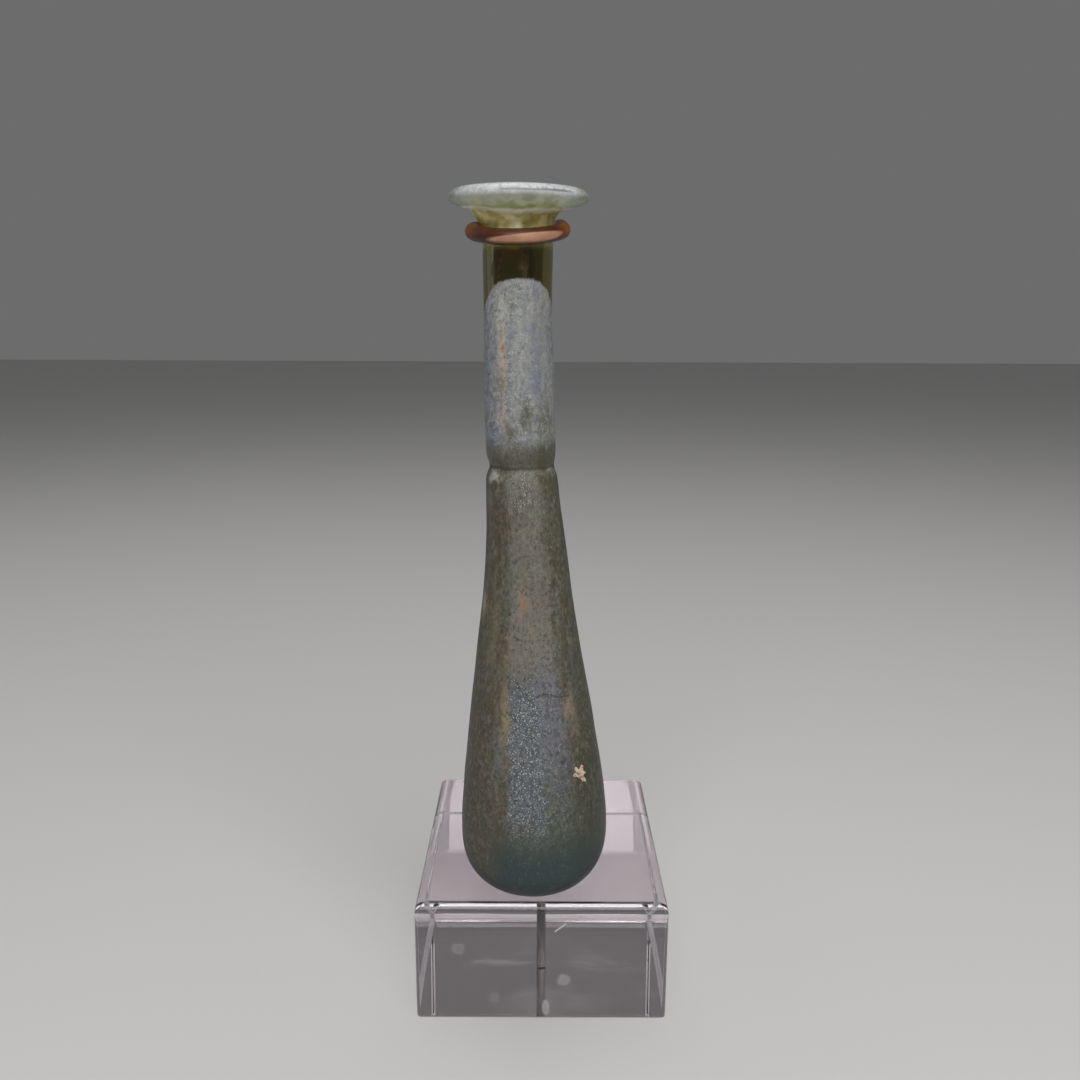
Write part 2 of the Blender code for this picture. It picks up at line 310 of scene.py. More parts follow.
def block_material():
    """Clear cast plastic with hairline scratches all over.

    Its front has round marks, a drop of glue, rubbed streaks and a nick. The edges of its foot are dull from
    the saw.
    """
    made, tree = new_material("clear_plastic")
    place = tree.metres()
    hairlines = place.noise(90.0, 2.0, stretch=(0.6, 0.6, 9.0)).off(0.5).rise(0.006, 0.0)
    scratches = hairlines * place.noise(60.0, 3.0).rise(0.52, 0.68)
    x, y, z = place.split()
    uneven = place.noise(900.0, 3.0) * 0.8 - 0.4
    glue_drop = ((x - 0.0009).square() + ((z - 0.0026) * 0.42).square()) ** 0.5
    marks = glue_drop.rise(0.00095, 0.0006) * 0.9
    for mark_x, mark_z, radius, strength in BLOCK_MARKS:
        away = ((x - mark_x).square() + (z - mark_z).square()) ** 0.5
        reach = away / radius + uneven
        marks = marks + reach.rise(1.1, 0.5) * (0.6 + 0.4 * reach.rise(0.2, 0.8)) * strength
    streaks = place.noise(260.0, 4.0, 0.65, (0.16, 1.0, 1.0)).rise(0.52, 0.72)
    streaks = streaks * z.off(0.0140).rise(0.0026, 0.0)
    rubs = place.noise(120.0, 4.0, 0.65, (0.35, 1.0, 1.0)).rise(0.50, 0.75) * z.rise(0.024, 0.012)
    nick = ((x - 0.0037) * 0.8 - (z - 0.0206)).off(0.0).rise(0.00030, 0.00012)
    nick = nick * x.off(0.0037).rise(0.0013, 0.0009)
    wear = marks * 0.32 + streaks * 0.34 + rubs * 0.10 + nick * 0.6
    dust = (y.rise(*BLOCK_FRONT_MASK) * wear).least(1.0)
    sawn = z.rise(0.00055, 0.00035) * (1.0 - z.rise(0.00002, 0.00001)) * 0.45
    clear = tree.add(
        "ShaderNodeBsdfPrincipled",
        _0=screen(221, 213, 219),
        Roughness=scratches * 0.06 + 0.01,
        IOR=BLOCK_IOR,
        Transmission_Weight=1.0,
        Normal=tree.bump(scratches, 0.00001, 0.25),
    ).lit_through()
    matt = tree.add("ShaderNodeBsdfPrincipled", _0=screen(206, 203, 206), Roughness=0.75)
    tree.add("ShaderNodeMixShader", _0=(dust + sawn).least(1.0), _1=clear, _2=matt).finish()
    return made


def hole_material():
    """The drilled wall of the rod's hole: dulled, and brown with old glue."""
    made, tree = new_material("drilled_hole")
    place = tree.metres()
    glue = place.noise(500.0, 3.0, 0.6, (1.0, 1.0, 0.2))
    tree.add(
        "ShaderNodeBsdfPrincipled",
        _0=glue.rise(0.35, 0.7).lay(screen(112, 106, 105), screen(62, 57, 58)),
        Roughness=0.5 + 0.3 * glue,
        Normal=tree.bump(glue, 0.00002, 0.3),
    ).finish()
    return made


block = skin("clear_block", block_rows())
block.data.set_sharp_from_angle(angle=math.radians(50.0))
block.data.materials.append(block_material())
block.data.materials.append(hole_material())
middles = np.array([face.center for face in block.data.polygons])
drilled = np.hypot(middles[:, 0], middles[:, 1]) < 1.05 * BLOCK_HOLE_RADIUS
drilled &= middles[:, 2] > 0.5 * BLOCK_HOLE_FLOOR
block.data.polygons.foreach_set("material_index", drilled.astype(int))
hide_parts("stand_block")
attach(block, "root")


# Support rod
# A drawn steel rod, cut square at its foot and rounded at its top, standing in the block's hole.

ROD_SIDE_ROWS = 30
ROD_DOME_ROWS = 10
ROD_POINTS = 40


def rod_material():
    """Bright drawn steel, with lengthwise draw lines and a little brown tarnish."""
    made, tree = new_material("drawn_steel")
    place = tree.metres()
    lines = place.noise(3000.0, 2.0, stretch=(1.0, 1.0, 0.02))
    tarnish = place.noise(140.0, 3.0, stretch=(1.0, 1.0, 0.3)).rise(0.5, 0.75)
    tree.add(
        "ShaderNodeBsdfPrincipled",
        _0=(tarnish * 0.6).lay(screen(112, 92, 70), screen(172, 169, 163)),
        Metallic=1.0,
        Roughness=0.22 + 0.16 * lines + 0.2 * tarnish,
        Normal=tree.bump(lines, 0.00001, 0.3),
    ).finish()
    return made


def rod_rows():
    """Rows round the rod: a small chamfer at the foot, a straight side and a half-round top.

    Each radius is carried round the upright axis, starting at the back, at its height.
    """
    low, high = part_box("support_rod")
    radius = 0.5 * (high.x - low.x)
    chamfer = 0.1 * radius
    turn = np.linspace(0.0, 0.48 * np.pi, ROD_DOME_ROWS)
    side = np.linspace(low.z + chamfer, high.z - radius, ROD_SIDE_ROWS)
    widths = np.concatenate(((radius - chamfer,), np.full(len(side), radius), radius * np.cos(turn[1:])))
    heights = np.concatenate(((low.z,), side, high.z - radius + radius * np.sin(turn[1:])))
    around = 2.0 * np.pi * np.arange(ROD_POINTS) / ROD_POINTS - np.pi
    x = widths[:, None] * np.sin(around)
    y = -widths[:, None] * np.cos(around)
    return np.stack((x, y, heights[:, None] + 0.0 * around), -1)


rod = skin("steel_rod", rod_rows())
rod.data.set_sharp_from_angle(angle=math.radians(35.0))
rod.data.materials.append(rod_material())
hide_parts("support_rod")
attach(rod, "root")


# Neck ring
# A loop of smooth brown rubber cord, pulled round the flask's neck and the rod. It rises towards the rod,
# less and less steeply, and its right side is a little higher than its left.

NECK_RADIUS = 0.00622
NECK_X = -0.00475
FLASK_Y = -0.01818
PIECE_GAP = 0.0003
ROD_RADIUS = 0.0008
CORD_RADIUS = 0.00138
CORD_TILT = math.radians(13.0)
CORD_EASE = 0.016
CORD_FRONT_HEIGHT = 0.1250
CORD_ROLL = math.radians(1.0)
CORD_POINTS = 36


def cord_path():
    """Closed line of the cord: an arc round the neck, an arc round the rod and two straight tangents.

    The tangents touch both circles, so they leave the line between the centres by the angle whose cosine is
    the difference of the radii over the distance of the centres. Its height grows evenly to the right, and
    to the back at a slope that eases off, as a hyperbolic tangent.
    """
    neck = np.array((NECK_X, FLASK_Y))
    around_neck = NECK_RADIUS + PIECE_GAP + CORD_RADIUS
    around_rod = ROD_RADIUS + PIECE_GAP + CORD_RADIUS
    heading = math.atan2(-neck[1], -neck[0])
    lean = math.acos((around_neck - around_rod) / np.linalg.norm(neck))
    front = np.linspace(heading + lean, heading + 2.0 * np.pi - lean, 120)
    back = np.linspace(heading - lean, heading + lean, 50)
    front = neck + around_neck * np.stack((np.cos(front), np.sin(front)), 1)
    back = around_rod * np.stack((np.cos(back), np.sin(back)), 1)
    step = np.linspace(0.0, 1.0, 42)[1:-1, None]
    left = front[-1:] * (1.0 - step) + back[:1] * step
    right = back[-1:] * (1.0 - step) + front[:1] * step
    flat = np.vstack((front, left, back, right))
    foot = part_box("flask")[0].z
    rise = CORD_EASE * np.tanh((flat[:, 1] - flat[:, 1].min()) / CORD_EASE) * math.tan(CORD_TILT)
    roll = (flat[:, 0] - NECK_X) * math.tan(CORD_ROLL)
    return np.column_stack((flat, foot + CORD_FRONT_HEIGHT + rise + roll))


def carried(path, radius, points):
    """Rows of a round section carried along a closed path, with its first point on the outer side."""
    ahead = np.roll(path, -1, 0) - np.roll(path, 1, 0)
    ahead /= np.linalg.norm(ahead, axis=1, keepdims=True)
    side = np.cross(ahead, (0.0, 0.0, 1.0))
    side /= np.linalg.norm(side, axis=1, keepdims=True)
    over = np.cross(side, ahead)
    turn = 2.0 * np.pi * np.arange(points) / points
    reach = np.cos(turn)[None, :, None] * side[:, None] + np.sin(turn)[None, :, None] * over[:, None]
    return path[:, None] + radius * reach


def cord_material(path):
    """Brown rubber, with painted shade in dark maroon below, painted light in amber where it bends back, and
    a painted peach highlight along its front.
    """
    made, tree = new_material("brown_rubber")
    place = tree.metres()
    x, y, z = place.split()
    front_y, front_z = path[:, 1].min(), path[:, 2].min()
    rise = ((y - front_y) / CORD_EASE).math("TANH") * (CORD_EASE * math.tan(CORD_TILT))
    middle = front_z + rise + (x - NECK_X) * math.tan(CORD_ROLL)
    over = (z - middle) / CORD_RADIUS
    turn = (x - NECK_X).math("ARCTAN2", FLASK_Y - y) * (180.0 / math.pi)
    cloud = place.noise(220.0, 3.0)
    specks = place.cells(1500.0).rise(0.22, 0.12) * place.noise(300.0).rise(0.55, 0.7)
    rubbed = place.noise(700.0, 3.0, stretch=(0.4, 0.4, 1.0)).rise(0.5, 0.75)
    colour = cloud.rise(0.35, 0.7).lay(screen(84, 44, 22), screen(62, 30, 16))
    # Painted light: amber at the sides where the cord bends back, as if lit through the rubber.
    amber = turn.off(0.0).rise(46.0, 74.0) * over.rise(-0.75, 0.1)
    colour = (amber * (0.7 + 0.3 * cloud)).lay(screen(140, 78, 4), colour)
    # Painted highlight: a broad peach patch along the cord's front, where the lamp's reflection falls.
    across = ((turn - 12.0) / 50.0).off(0.0) ** 1.7
    along = ((over + 0.21 + 0.10 * (cloud - 0.5) - turn * 0.005) / 0.79).square()
    painted_highlight = (across + along).rise(1.0, 0.66)
    peach = cloud.rise(0.3, 0.7).lay(screen(180, 138, 112), screen(160, 114, 88))
    colour = (painted_highlight * 0.94).lay(peach, colour)
    # Painted shade: dark maroon on the cord's underside.
    colour = (over.rise(-0.30, -0.75) * 0.85).lay(screen(44, 16, 14), colour)
    colour = (specks * 0.4).lay(screen(190, 160, 136), colour)
    tree.add(
        "ShaderNodeBsdfPrincipled",
        _0=colour,
        Roughness=0.36 + 0.2 * rubbed + 0.1 * specks + 0.15 * painted_highlight,
        IOR=1.40,
        Normal=tree.bump(rubbed + specks, 0.00002, 0.3),
    ).finish()
    return made


path_of_cord = cord_path()
cord = skin("brown_cord", carried(path_of_cord, CORD_RADIUS, CORD_POINTS), loop=True)
cord.data.materials.append(cord_material(path_of_cord))
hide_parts("neck_ring")
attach(cord, "root")


# Flask
# Free-blown olive glass: the body was drawn up into a long neck, nipped at its foot, and the rim was folded
# out, up and in. Burial left a silvery, pitted weathering on it, which stops in an arch under the ring.

BODY_RADIUS = 0.01448
BELLY_HEIGHT = 0.0132
BASE_SQUARENESS = 2.7
BODY_WALL = 0.0013
NECK_WALL = 0.0017
BASE_WALL = 0.0020
BODY_LEAN = 0.0032
CREASE_HEIGHT = 0.0852
CREASE_HALF_WIDTH = 0.0015
CREASE_DEPTH = 0.00058
CREASE_UNEVENNESS = 0.22
FLASK_HEIGHT = 0.1334
FLARE_DROP = 0.0040
FLARE_RADIUS = 0.0092
FLARE_LEAST_POWER = 0.95
FLARE_RIGHT_POWER = 2.6
FLARE_BACK_POWER = 2.4
RIM_RADIUS = 0.01239
RIM_THICKNESS = 0.0026
RIM_ROLL_WIDTH = 0.0038
RIM_FLAP = 0.0021
RIM_FLAP_TURN = math.radians(5.0)
RIM_FLAP_SPREAD = math.radians(80.0)
RIM_DIP = 0.002
MOUTH_DEPTH = 0.0075
FLASK_POINTS = 200
BASE_ROWS = 34
FLARE_ROWS = 13
FLASK_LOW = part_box("flask")[0]
RIM_UNDERSIDE = FLASK_HEIGHT - RIM_THICKNESS
FLARE_START = RIM_UNDERSIDE - FLARE_DROP

# Share of the height, and share of the way from the neck's radius to the body's
BODY_OUTLINE = np.array((
    (0.0989, 1.000), (0.1657, 0.922), (0.2612, 0.722), (0.3717, 0.462), (0.4671, 0.252), (0.5475, 0.128),
    (0.6228, 0.052), (0.6630, 0.026), (0.7534, 0.024), (0.8388, -0.014), (0.9241, 0.003), (1.0000, 0.003),
))
# Share of the height, and share of the body's sideways lean from the neck
CENTRE_LINE = np.array((
    (0.00, 0.94), (0.10, 1.00), (0.26, 0.83), (0.38, 0.64), (0.50, 0.52), (0.64, 0.19), (0.76, 0.08),
    (0.88, 0.00), (1.00, 0.05),
))


def through(knots, share):
    """Smooth curve through knots with no overshoot.

    Between two knots it is a cubic whose end slopes are the harmonic mean of the slopes beside each knot, or
    level where those change sign and at both ends.
    """
    place, value = knots.T
    share = np.clip(share, place[0], place[-1])
    step = np.diff(place)
    slope = np.diff(value) / step
    before, after = slope[:-1], slope[1:]
    both = np.where(before * after > 0.0, before + after, 1.0)
    middle = np.where(before * after > 0.0, 2.0 * before * after / both, 0.0)
    ends = np.concatenate(((0.0,), middle, (0.0,)))
    k = np.clip(np.searchsorted(place, share, side="right") - 1, 0, len(step) - 1)
    t = (share - place[k]) / step[k]
    rise = value[k + 1] - value[k]
    bend = (1.0 - t) * ends[k] * step[k] - t * ends[k + 1] * step[k] + (2.0 * t - 1.0) * rise
    return value[k] + t * rise + t * (1.0 - t) * bend


def glass_row(radius, height):
    """Rows of the flask: radii, one to a point, set round the leaning centre line at their heights."""
    turn = 2.0 * np.pi * np.arange(FLASK_POINTS) / FLASK_POINTS - np.pi
    height = np.asarray(height)[:, None] + 0.0 * turn
    middle = NECK_X + BODY_LEAN * through(CENTRE_LINE, height / FLASK_HEIGHT)
    x = middle + radius * np.sin(turn)
    return np.stack((x, FLASK_Y - radius * np.cos(turn), FLASK_LOW.z + height), -1)


def flask_rows():
    """Rows of the whole flask from its lowest point, up its outside, over the rim and down its inside.

    The base is a squarish quarter oval. The wall is the outline less the crease, a bell-shaped dip. Under the
    rim the neck widens by a power of the height, lowest and so most like a cone on the left. The rim is an
    oval with a fold line round it, and its folded flap slants down to a loose edge, lowest in front. The
    tooling left faint slanting ripples, and the rim is dipped to the right.
    """
    turn = 2.0 * np.pi * np.arange(FLASK_POINTS)[None, :] / FLASK_POINTS - np.pi
    right = np.sin(turn)

    def wall(height):
        height = height[:, None]
        share = through(BODY_OUTLINE, height / FLASK_HEIGHT)
        reach = (height - CREASE_HEIGHT - 0.0002 * np.sin(2.0 * turn + 0.7)) / CREASE_HALF_WIDTH
        dip = CREASE_DEPTH * (1.0 - CREASE_UNEVENNESS * right) * np.exp(-reach * reach)
        return NECK_RADIUS + (BODY_RADIUS - NECK_RADIUS) * share - dip

    def ripples(height):
        height = height[:, None]
        slow = np.sin(height / 0.0031 + 1.3 * np.sin(turn) + 2.0 * turn) * np.sin(height / 0.011 + turn)
        quick = np.sin(height / 0.0013 - 3.0 * turn) * np.sin(height / 0.019 + 2.0 * turn)
        return 0.000035 * slow + 0.000012 * quick

    def base(radius, low, count):
        quarter = np.linspace(0.06, 1.0, count) * 0.5 * np.pi
        power = 2.0 / BASE_SQUARENESS
        widths = radius * np.sin(quarter) ** power
        heights = BELLY_HEIGHT - (BELLY_HEIGHT - low) * np.cos(quarter).clip(0.0) ** power
        return widths[:, None] + 0.0 * turn, heights

    base_widths, base_heights = base(BODY_RADIUS, 0.0, BASE_ROWS)
    wall_heights = np.linspace(BELLY_HEIGHT, FLARE_START, 252)[1:]
    share = np.linspace(0.0, 1.0, FLARE_ROWS + 1)[1:]
    flare_heights = FLARE_START + FLARE_DROP * share
    curve = FLARE_LEAST_POWER + FLARE_RIGHT_POWER * (0.5 + 0.5 * np.sin(turn - np.radians(35.0)))
    curve = curve + FLARE_BACK_POWER * np.exp(-(((turn + np.radians(142.0)) / 0.55) ** 2))
    flap = RIM_FLAP * np.exp(-(((turn - RIM_FLAP_TURN) / RIM_FLAP_SPREAD) ** 2))
    flap = flap * (1.0 + 0.07 * np.sin(5.0 * turn + 2.6) + 0.05 * np.sin(13.0 * turn + 1.0))
    flare = (FLARE_RADIUS - NECK_RADIUS) * (share[:, None] * (1.0 - flap / FLARE_DROP)) ** curve
    outside = np.vstack((
        base_widths + ripples(base_heights) * np.linspace(0.0, 1.0, BASE_ROWS)[:, None],
        wall(wall_heights) + ripples(wall_heights),
        wall(flare_heights) + ripples(flare_heights) + flare,
    ))
    outside_heights = np.concatenate((base_heights, wall_heights, flare_heights))

    bend = np.radians(np.linspace(-40.0, 112.0, 40))[:, None]
    fold = np.exp(-(((bend - np.radians(34.0) - 0.10 * np.sin(2.0 * turn + 0.5)) / 0.11) ** 2))
    section = 0.5 * RIM_ROLL_WIDTH - 0.00020 * fold * (0.75 + 0.25 * np.sin(3.0 * turn))
    wave = 0.00005 * np.cos(3.0 * turn) + 0.00003 * np.sin(7.0 * turn + 1.0)
    rim = RIM_RADIUS - 0.5 * RIM_ROLL_WIDTH + section * np.cos(bend) + wave
    rim_heights = RIM_UNDERSIDE + 0.5 * RIM_THICKNESS * (1.0 + np.sin(bend[:, 0]))
    over = np.concatenate((np.linspace(0.0, 0.16, 5)[1:], np.linspace(0.2, 0.92, 12)))[:, None]
    first = outside[-1]
    bulge = 0.00045 * np.sin(np.pi * over) ** 0.6 + 0.0004 * np.sqrt(over.clip(0.0, 0.16) / 0.16)
    underlap = first + (rim[0] - first) * over + bulge * (1.0 - over)
    hidden = (rim_heights[0] - RIM_UNDERSIDE) * over[:, 0]
    sag = np.concatenate((share, 1.0 - over[:, 0] ** 1.2))[:, None] * flap

    lip, lip_height = rim[-1], rim_heights[-1]
    bore = NECK_RADIUS - NECK_WALL
    down = np.linspace(0.0, 1.0, 22)[1:, None]
    mouth = bore + (lip - bore) * (1.0 - down) ** 2.0
    mouth_heights = lip_height - MOUTH_DEPTH * down[:, 0]
    inner_heights = np.linspace(mouth_heights[-1], BELLY_HEIGHT, 90)[1:]
    thin = ((inner_heights - BELLY_HEIGHT) / (CREASE_HEIGHT - BELLY_HEIGHT)).clip(0.0, 1.0)[:, None]
    inside = wall(inner_heights) - BODY_WALL - (NECK_WALL - BODY_WALL) * thin
    floor_widths, floor_heights = base(BODY_RADIUS - BODY_WALL, BASE_WALL, 24)

    radius = np.vstack((outside, underlap, rim, mouth, inside, floor_widths[::-1][1:]))
    height = np.concatenate((
        outside_heights, RIM_UNDERSIDE + hidden, rim_heights, mouth_heights, inner_heights,
        floor_heights[::-1][1:],
    ))
    rows = glass_row(radius, height)
    tilt = ((height - FLARE_START) / FLARE_DROP).clip(0.0, 1.0)[:, None]
    drop = RIM_DIP * (rows[:, :, 0] - NECK_X)
    rows[:, :, 2] -= tilt * drop
    rows[len(outside) - len(share) : len(outside) + len(over), :, 2] -= sag
    return rows, len(outside) + len(over) + len(rim) - 8


def clear_glass(tree, normal, roughness):
    """The flask's bare glass: olive green and see-through, softened by a thin film."""
    return tree.add(
        "ShaderNodeBsdfPrincipled",
        _0=screen(152, 145, 78),
        Roughness=roughness,
        IOR=1.5,
        Transmission_Weight=1.0,
        Normal=normal,
    ).lit_through()


def spot(turn, height, at_turn, at_height, wide, tall):
    """A soft spot, 1 in its middle: a bell curve of the turn in degrees and the height in millimetres."""
    return turn.bell(at_turn, wide) * height.bell(at_height, tall)


SILVER = screen(132, 134, 132)
PALE_SILVER = screen(160, 163, 162)
DULL_SILVER = screen(100, 102, 101)
SLATE = screen(82, 88, 98)
LILAC = screen(108, 112, 128)
OLIVE = screen(76, 76, 56)
DEEP_OLIVE = screen(48, 50, 38)
BROWN = screen(76, 68, 54)
TAN = screen(112, 102, 84)
WARM_GREY = screen(116, 111, 102)
OCHRE = screen(150, 132, 104)
PEACH = screen(176, 152, 134)
RUST = screen(168, 120, 84)
MILK = screen(188, 188, 180)
TEAL = screen(36, 58, 59)
DARK_TEAL = screen(12, 20, 22)

# Colour, strength, turn from the front in degrees, height in millimetres, half widths across and along
STAINS_AND_SIDE_SHADE = (
    (MILK, 0.60, -30.0, 112.0, 12.0, 4.0),
    (PEACH, 1.00, -28.0, 105.5, 7.0, 4.6),
    (OCHRE, 1.00, -26.0, 100.4, 6.0, 1.8),
    (PEACH, 0.50, -30.0, 94.0, 14.0, 3.0),
    (LILAC, 0.85, 30.0, 101.0, 17.0, 3.4),
    (LILAC, 0.80, -46.0, 91.0, 14.0, 2.4),
    (OLIVE, 0.85, -16.0, 91.6, 8.0, 1.5),
    (OLIVE, 0.85, 10.0, 94.5, 9.0, 2.0),
    (OLIVE, 0.70, 44.0, 93.0, 18.0, 4.0),
    (MILK, 0.90, -48.0, 83.9, 15.0, 0.9),
    (MILK, 0.90, 62.0, 84.9, 10.0, 0.6),
    (WARM_GREY, 0.60, -62.0, 79.0, 12.0, 2.6),
    (BROWN, 0.85, -44.0, 75.0, 14.0, 5.5),
    (OLIVE, 0.75, 46.0, 73.0, 16.0, 7.0),
    (PEACH, 0.80, -69.0, 59.5, 6.0, 2.6),
    (RUST, 0.60, -7.5, 61.0, 5.5, 2.0),
    (TAN, 0.80, -44.0, 55.0, 8.0, 7.0),
    (WARM_GREY, 0.60, 44.0, 62.5, 4.0, 2.2),
    (WARM_GREY, 0.60, 56.0, 53.0, 6.0, 3.4),
    (SLATE, 0.35, 52.0, 46.0, 9.0, 4.0),
    (OCHRE, 0.90, -24.0, 39.0, 4.5, 5.0),
    (TAN, 0.70, -25.0, 46.5, 5.0, 5.0),
    (LILAC, 0.55, -30.0, 31.0, 5.0, 4.2),
    (PEACH, 0.55, 41.0, 40.5, 7.0, 2.4),
    (TAN, 0.65, 44.0, 36.5, 8.0, 1.8),
    (BROWN, 0.60, -44.0, 18.0, 22.0, 7.0),
    # The next three deep olive rows are painted shade on the body's sides, darker towards its outline.
    (DEEP_OLIVE, 0.90, 58.0, 24.0, 26.0, 14.0),
    (DEEP_OLIVE, 0.60, -64.0, 20.0, 18.0, 14.0),
    (DEEP_OLIVE, 0.30, 56.0, 56.0, 12.0, 9.0),
    (BROWN, 0.70, -62.0, 40.0, 16.0, 16.0),
)


def outer_material():
    """Weathered outside of the flask.

    The colour starts as brown and olive clouds and takes silver on the neck, a grey down the body's front
    that is partly painted light, painted shade down its sides, slate with bright specks low on it, painted
    glints among them, and teal at the base, and then the stains, painted shade among them, and the pits.
    Painted sparkles on the neck and a painted dark line in the rim's furrow join them. The film that carries
    it hides the glass, except above the arch under the ring, in the flare and, in part, in the rim.
    """
    made, tree = new_material("weathered_glass")
    place = tree.millimetres()
    degrees, level = tree.wrapped(FLASK_LOW.z)
    swirl = place.noise(0.35, 4.0) - 0.5
    ripple = place.noise(1.1, 4.0, 0.6, (1.0, 1.0, 0.5)) - 0.5
    turn = degrees + swirl * 18.0 + ripple * 12.0
    height = level + swirl * 4.0 + ripple * 4.0

    grain = place.noise(1.7, 5.0, 0.66, (1.0, 1.0, 0.75))
    fine = place.noise(4.5, 3.0, 0.7)
    cloud = place.noise(0.28, 4.0, 0.6, (1.0, 1.0, 0.45))
    streak = place.noise(1.3, 5.0, 0.65, (1.0, 1.0, 0.16))
    specks = place.cells(2.3)
    dots = place.cells(3.6)
    fibre = place.noise(0.9, 5.0, 0.6).off(0.5).rise(0.035, 0.0)
    smooth = spot(turn, height, 34.0, 107.0, 30.0, 10.0)
    smooth = smooth.most(spot(turn, height, -70.0, 60.0, 34.0, 30.0) * 0.7)
    crisp = (0.45 + 0.9 * place.noise(0.5, 3.0).rise(0.40, 0.60)) * (1.0 - 0.7 * smooth)

    front = turn.rise(-25.0, -18.0) * turn.rise(36.0, 24.0)
    colour = cloud.rise(0.40, 0.62).lay(OLIVE, BROWN)
    colour = (streak.rise(0.48, 0.72) * 0.75).lay(TAN, colour)
    colour = (turn.rise(34.0, 66.0) * turn.rise(150.0, 110.0) * 0.8).lay(OLIVE, colour)
    # A grey down the body's front, partly the weathering's own grey and partly painted light, the front lit
    # brighter than the sides.
    front_grey_and_light = front * height.rise(40.0, 52.0) * (0.60 + 0.22 * height.rise(66.0, 54.0))
    colour = front_grey_and_light.lay(WARM_GREY, colour)
    colour = (cloud.rise(0.48, 0.60) * height.rise(44.0, 54.0) * 0.45).lay(DULL_SILVER, colour)
    worn = spot(turn, height, 12.0, 94.5, 9.0, 2.2).most(spot(turn, height, -15.0, 91.4, 8.0, 1.5))
    silvered = height.rise(85.5, 90.5) * (1.0 - 0.7 * worn)
    colour = (silvered * 0.92).lay(SILVER, colour)
    pale_left = spot(turn, height, -62.0, 104.0, 16.0, 14.0) * silvered
    colour = (pale_left * 0.7).lay(screen(112, 120, 134), colour)
    colour = (silvered * place.noise(0.33, 3.0).rise(0.50, 0.62) * 0.5).lay(LILAC, colour)

    band = turn.rise(-24.0, -16.0) * turn.rise(15.0, 3.0) * height.rise(13.0, 22.0) * height.rise(50.0, 43.0)
    haze = turn.rise(0.0, 8.0) * turn.rise(42.0, 26.0) * height.rise(12.0, 22.0) * height.rise(54.0, 44.0)
    colour = (haze * 0.6).lay(height.rise(22.0, 34.0).lay(LILAC, screen(76, 88, 92)), colour)
    colour = (band * (0.75 + grain * 0.4)).least(1.0).lay(SLATE, colour)
    teal = level.rise(23.0, 10.0) * turn.rise(-60.0, -20.0).most(level.rise(10.0, 5.0))
    aside = turn.off(0.0)
    # Painted shade: deep olive down both sides of the body, darker towards its outline.
    painted_side_shade = aside.rise(50.0, 84.0) * aside.rise(150.0, 110.0) * level.rise(86.0, 82.0)
    colour = (painted_side_shade * 0.85).lay(DEEP_OLIVE, colour)
    colour = (teal * 0.95).lay(TEAL, colour)
    colour = (level.rise(9.0, 2.5) * 0.98).lay(DARK_TEAL, colour)
    # Each patch is laid in turn: real stains, and deep olive painted shade on the sides.
    for patch_colour, strength, *where in STAINS_AND_SIDE_SHADE:
        colour = (spot(turn, height, *where) * strength * (0.55 + grain * 0.9)).least(1.0).lay(patch_colour, colour)

    bare = 1.0 - teal
    pitted = bare * crisp * (1.0 - 0.35 * silvered)
    pale_grain = silvered.lay(screen(176, 179, 180), screen(134, 126, 106))
    colour = (grain.rise(0.51, 0.36) * pitted * 0.58).least(0.9).lay(DEEP_OLIVE, colour)
    colour = (grain.rise(0.53, 0.67) * pitted * 0.50).least(0.9).lay(pale_grain, colour)
    colour = (fine.rise(0.50, 0.32) * pitted * 0.32).least(0.9).lay(DEEP_OLIVE, colour)
    dapple = place.noise(0.9, 4.0, 0.6, (1.0, 1.0, 0.6))
    on_body = (1.0 - silvered) * bare * 0.34
    colour = (dapple.rise(0.50, 0.66) * (1.0 - haze) * on_body).lay(screen(122, 114, 96), colour)
    colour = (dapple.rise(0.48, 0.34) * on_body).lay(screen(58, 60, 50), colour)
    drawn = place.noise(0.8, 4.0, 0.6, (1.0, 1.0, 0.14))
    colour = (drawn.rise(0.50, 0.66) * silvered * 0.22).lay(PALE_SILVER, colour)
    colour = (drawn.rise(0.48, 0.34) * silvered * 0.26).lay(SLATE, colour)
    mottle = place.noise(1.1, 5.0, 0.62, (1.0, 1.0, 0.8))
    light_mottle = mottle.rise(0.50, 0.66) * silvered * (1.0 - 0.6 * smooth)
    colour = (light_mottle * 0.34).lay(screen(170, 174, 176), colour)
    dark_mottle = mottle.rise(0.50, 0.34) * silvered * (1.0 - 0.4 * smooth)
    colour = (dark_mottle * 0.42).lay(screen(84, 88, 93), colour)
    # Painted highlights: small bright sparkles on the silvered neck.
    painted_sparkles = place.cells(2.0).rise(0.42, 0.12) * place.noise(0.8, 3.0).rise(0.46, 0.60)
    colour = (painted_sparkles * (1.0 - smooth) * silvered * 0.42).lay(screen(204, 207, 208), colour)
    colour = (fibre * bare * (1.0 - band) * 0.14).lay(PALE_SILVER, colour)
